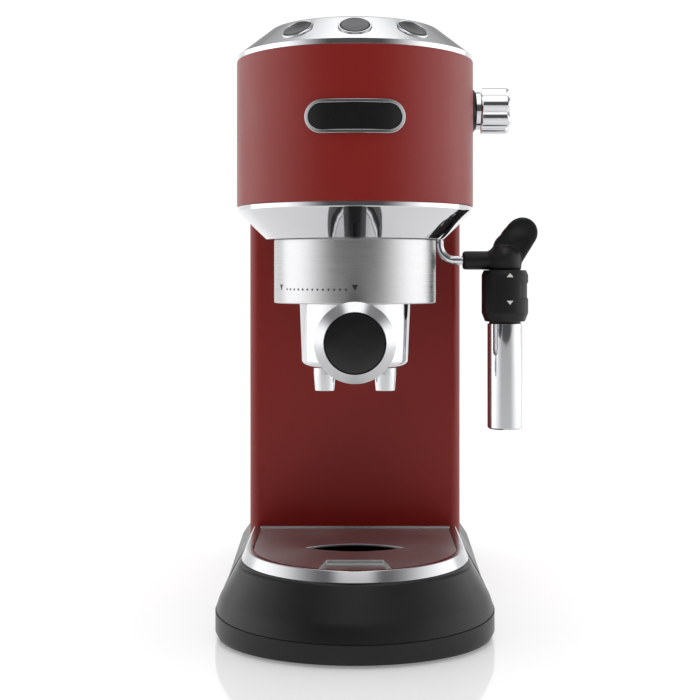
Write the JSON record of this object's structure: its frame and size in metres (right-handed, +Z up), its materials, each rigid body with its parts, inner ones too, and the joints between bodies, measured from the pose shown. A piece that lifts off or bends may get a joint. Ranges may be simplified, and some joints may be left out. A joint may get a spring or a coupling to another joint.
{
  "type": "espresso machine",
  "caption": "Slim pump espresso machine with a round-fronted head, bayonet portafilter, swivelling steam wand, pull-out drip tray and lift-off rear water tank.",
  "frame": {"origin": "centre of the bounding box at counter level", "axes": "+Z up, -Y to the front where the handle points, +X to the steam wand's side"},
  "size_m": [0.1724, 0.3304, 0.305],
  "materials": {
    "red_paint": "satin deep red paint on sheet steel",
    "chrome": "polished chrome plating",
    "polished_steel": "polished stainless steel",
    "brushed_steel": "stainless steel brushed round its axis",
    "screw_steel": "zinc plated steel",
    "black_plastic": "satin moulded black plastic",
    "gloss_black": "glossy black plastic",
    "button_grey": "satin grey metallised plastic",
    "black_rubber": "matte black rubber",
    "seal_rubber": "food grade black rubber",
    "clear_plastic": "clear moulded plastic",
    "smoke_plastic": "smoke tinted clear plastic",
    "cast_aluminium": "die cast aluminium",
    "valve_brass": "machined brass and copper pipe",
    "pump_white": "white glass filled nylon",
    "hose_silicone": "white silicone hose",
    "board_green": "printed circuit board"
  },
  "bodies": {
    "machine": {"badge_plate": "gloss_black", "badge_rim": "chrome", "base_housing": "black_plastic", "base_screws": "screw_steel", "bottom_plate": "black_plastic", "button_bezels": "chrome", "button_carrier": "black_plastic", "button_switches": "black_plastic", "column_frame": "black_plastic", "column_panel": "red_paint", "control_board": "board_green", "cord_gland": "black_plastic", "cup_warmer": "polished_steel", "feet": "black_rubber", "flow_meter": "black_plastic", "group_gasket": "seal_rubber", "group_head": "cast_aluminium", "group_ring": "brushed_steel", "group_screws": "screw_steel", "head_band": "red_paint", "head_frame": "black_plastic", "head_skirt": "chrome", "heater_block": "cast_aluminium", "knob_bezel": "black_plastic", "lower_tray": "clear_plastic", "power_switch_housing": "black_plastic", "pump_body": "pump_white", "pump_coil": "black_plastic", "pump_dampers": "black_rubber", "rear_panel": "black_plastic", "shower_screen": "polished_steel", "steam_lines": "valve_brass", "steam_valve": "valve_brass", "tank_coupling": "black_plastic", "top_cover": "chrome", "wand_socket": "black_plastic", "water_hoses": "hose_silicone"},
    "drip_tray": {"drip_tray": "black_plastic", "tray_trim": "chrome"},
    "cup_plate": {"cup_plate": "polished_steel"},
    "portafilter": {"portafilter_body": "chrome", "filter_basket": "polished_steel", "twin_spout": "chrome", "handle_grip": "gloss_black", "handle_end_ring": "chrome", "handle_end_cap": "gloss_black"},
    "steam_knob": {"steam_knob": "chrome", "valve_stem": "polished_steel"},
    "steam_wand": {"wand_pipe": "chrome", "wand_grip": "black_rubber", "frother_core": "black_rubber"},
    "frother_collar": {"frother_collar": "black_rubber"},
    "frother_sleeve": {"frother_sleeve": "chrome"},
    "button_left": {"button_left": "button_grey"},
    "button_centre": {"button_centre": "button_grey"},
    "button_right": {"button_right": "button_grey"},
    "power_rocker": {"power_rocker": "black_plastic"},
    "water_tank": {"water_tank": "smoke_plastic"},
    "tank_lid": {"tank_lid": "smoke_plastic"},
    "pump_plunger": {"pump_plunger": "screw_steel"}
  },
  "joints": [
    {"name": "portafilter_turn", "type": "hinge", "parent": "machine", "child": "portafilter", "pos_m": [-0.01325, -0.02515, 0.1644], "axis": [0, 0, 1], "range_deg": [-57, 0]},
    {"name": "steam_knob_turn", "type": "hinge", "parent": "machine", "child": "steam_knob", "pos_m": [0.04795, 0.00785, 0.2683], "axis": [1, 0, 0], "range_deg": [0, 250]},
    {"name": "wand_swivel", "type": "hinge", "parent": "machine", "child": "steam_wand", "pos_m": [0.03275, 0.00785, 0.2075], "axis": [0, 0, 1], "range_deg": [-60, 30]},
    {"name": "frother_collar_slide", "type": "slide", "parent": "steam_wand", "child": "frother_collar", "axis": [0, 0, -1], "range_m": [0, 0.006]},
    {"name": "frother_sleeve_pull", "type": "slide", "parent": "steam_wand", "child": "frother_sleeve", "axis": [0, 0, -1], "range_m": [0, 0.05]},
    {"name": "drip_tray_slide", "type": "slide", "parent": "machine", "child": "drip_tray", "axis": [0, -1, 0], "range_m": [0, 0.14]},
    {"name": "cup_plate_lift", "type": "slide", "parent": "drip_tray", "child": "cup_plate", "axis": [0, 0, 1], "range_m": [0, 0.06]},
    {"name": "tank_lift", "type": "slide", "parent": "machine", "child": "water_tank", "axis": [0, 0, 1], "range_m": [0, 0.29]},
    {"name": "tank_lid_hinge", "type": "hinge", "parent": "water_tank", "child": "tank_lid", "pos_m": [-0.01325, 0.16255, 0.2858], "axis": [-1, 0, 0], "range_deg": [0, 95]},
    {"name": "button_left_press", "type": "slide", "parent": "machine", "child": "button_left", "axis": [0.3367, 0.5185, -0.786], "range_m": [0, 0.0015], "stiffness_N_per_m": 600},
    {"name": "button_centre_press", "type": "slide", "parent": "machine", "child": "button_centre", "axis": [0, 0.6182, -0.786], "range_m": [0, 0.0015], "stiffness_N_per_m": 600},
    {"name": "button_right_press", "type": "slide", "parent": "machine", "child": "button_right", "axis": [-0.3367, 0.5185, -0.786], "range_m": [0, 0.0015], "stiffness_N_per_m": 600},
    {"name": "power_switch_rock", "type": "hinge", "parent": "machine", "child": "power_rocker", "pos_m": [-0.04725, 0.16085, 0.0145], "axis": [1, 0, 0], "range_deg": [0, 14]},
    {"name": "pump_plunger_slide", "type": "slide", "parent": "machine", "child": "pump_plunger", "axis": [0, 0, 1], "range_m": [-0.003, 0.003], "stiffness_N_per_m": 1500}
  ]
}
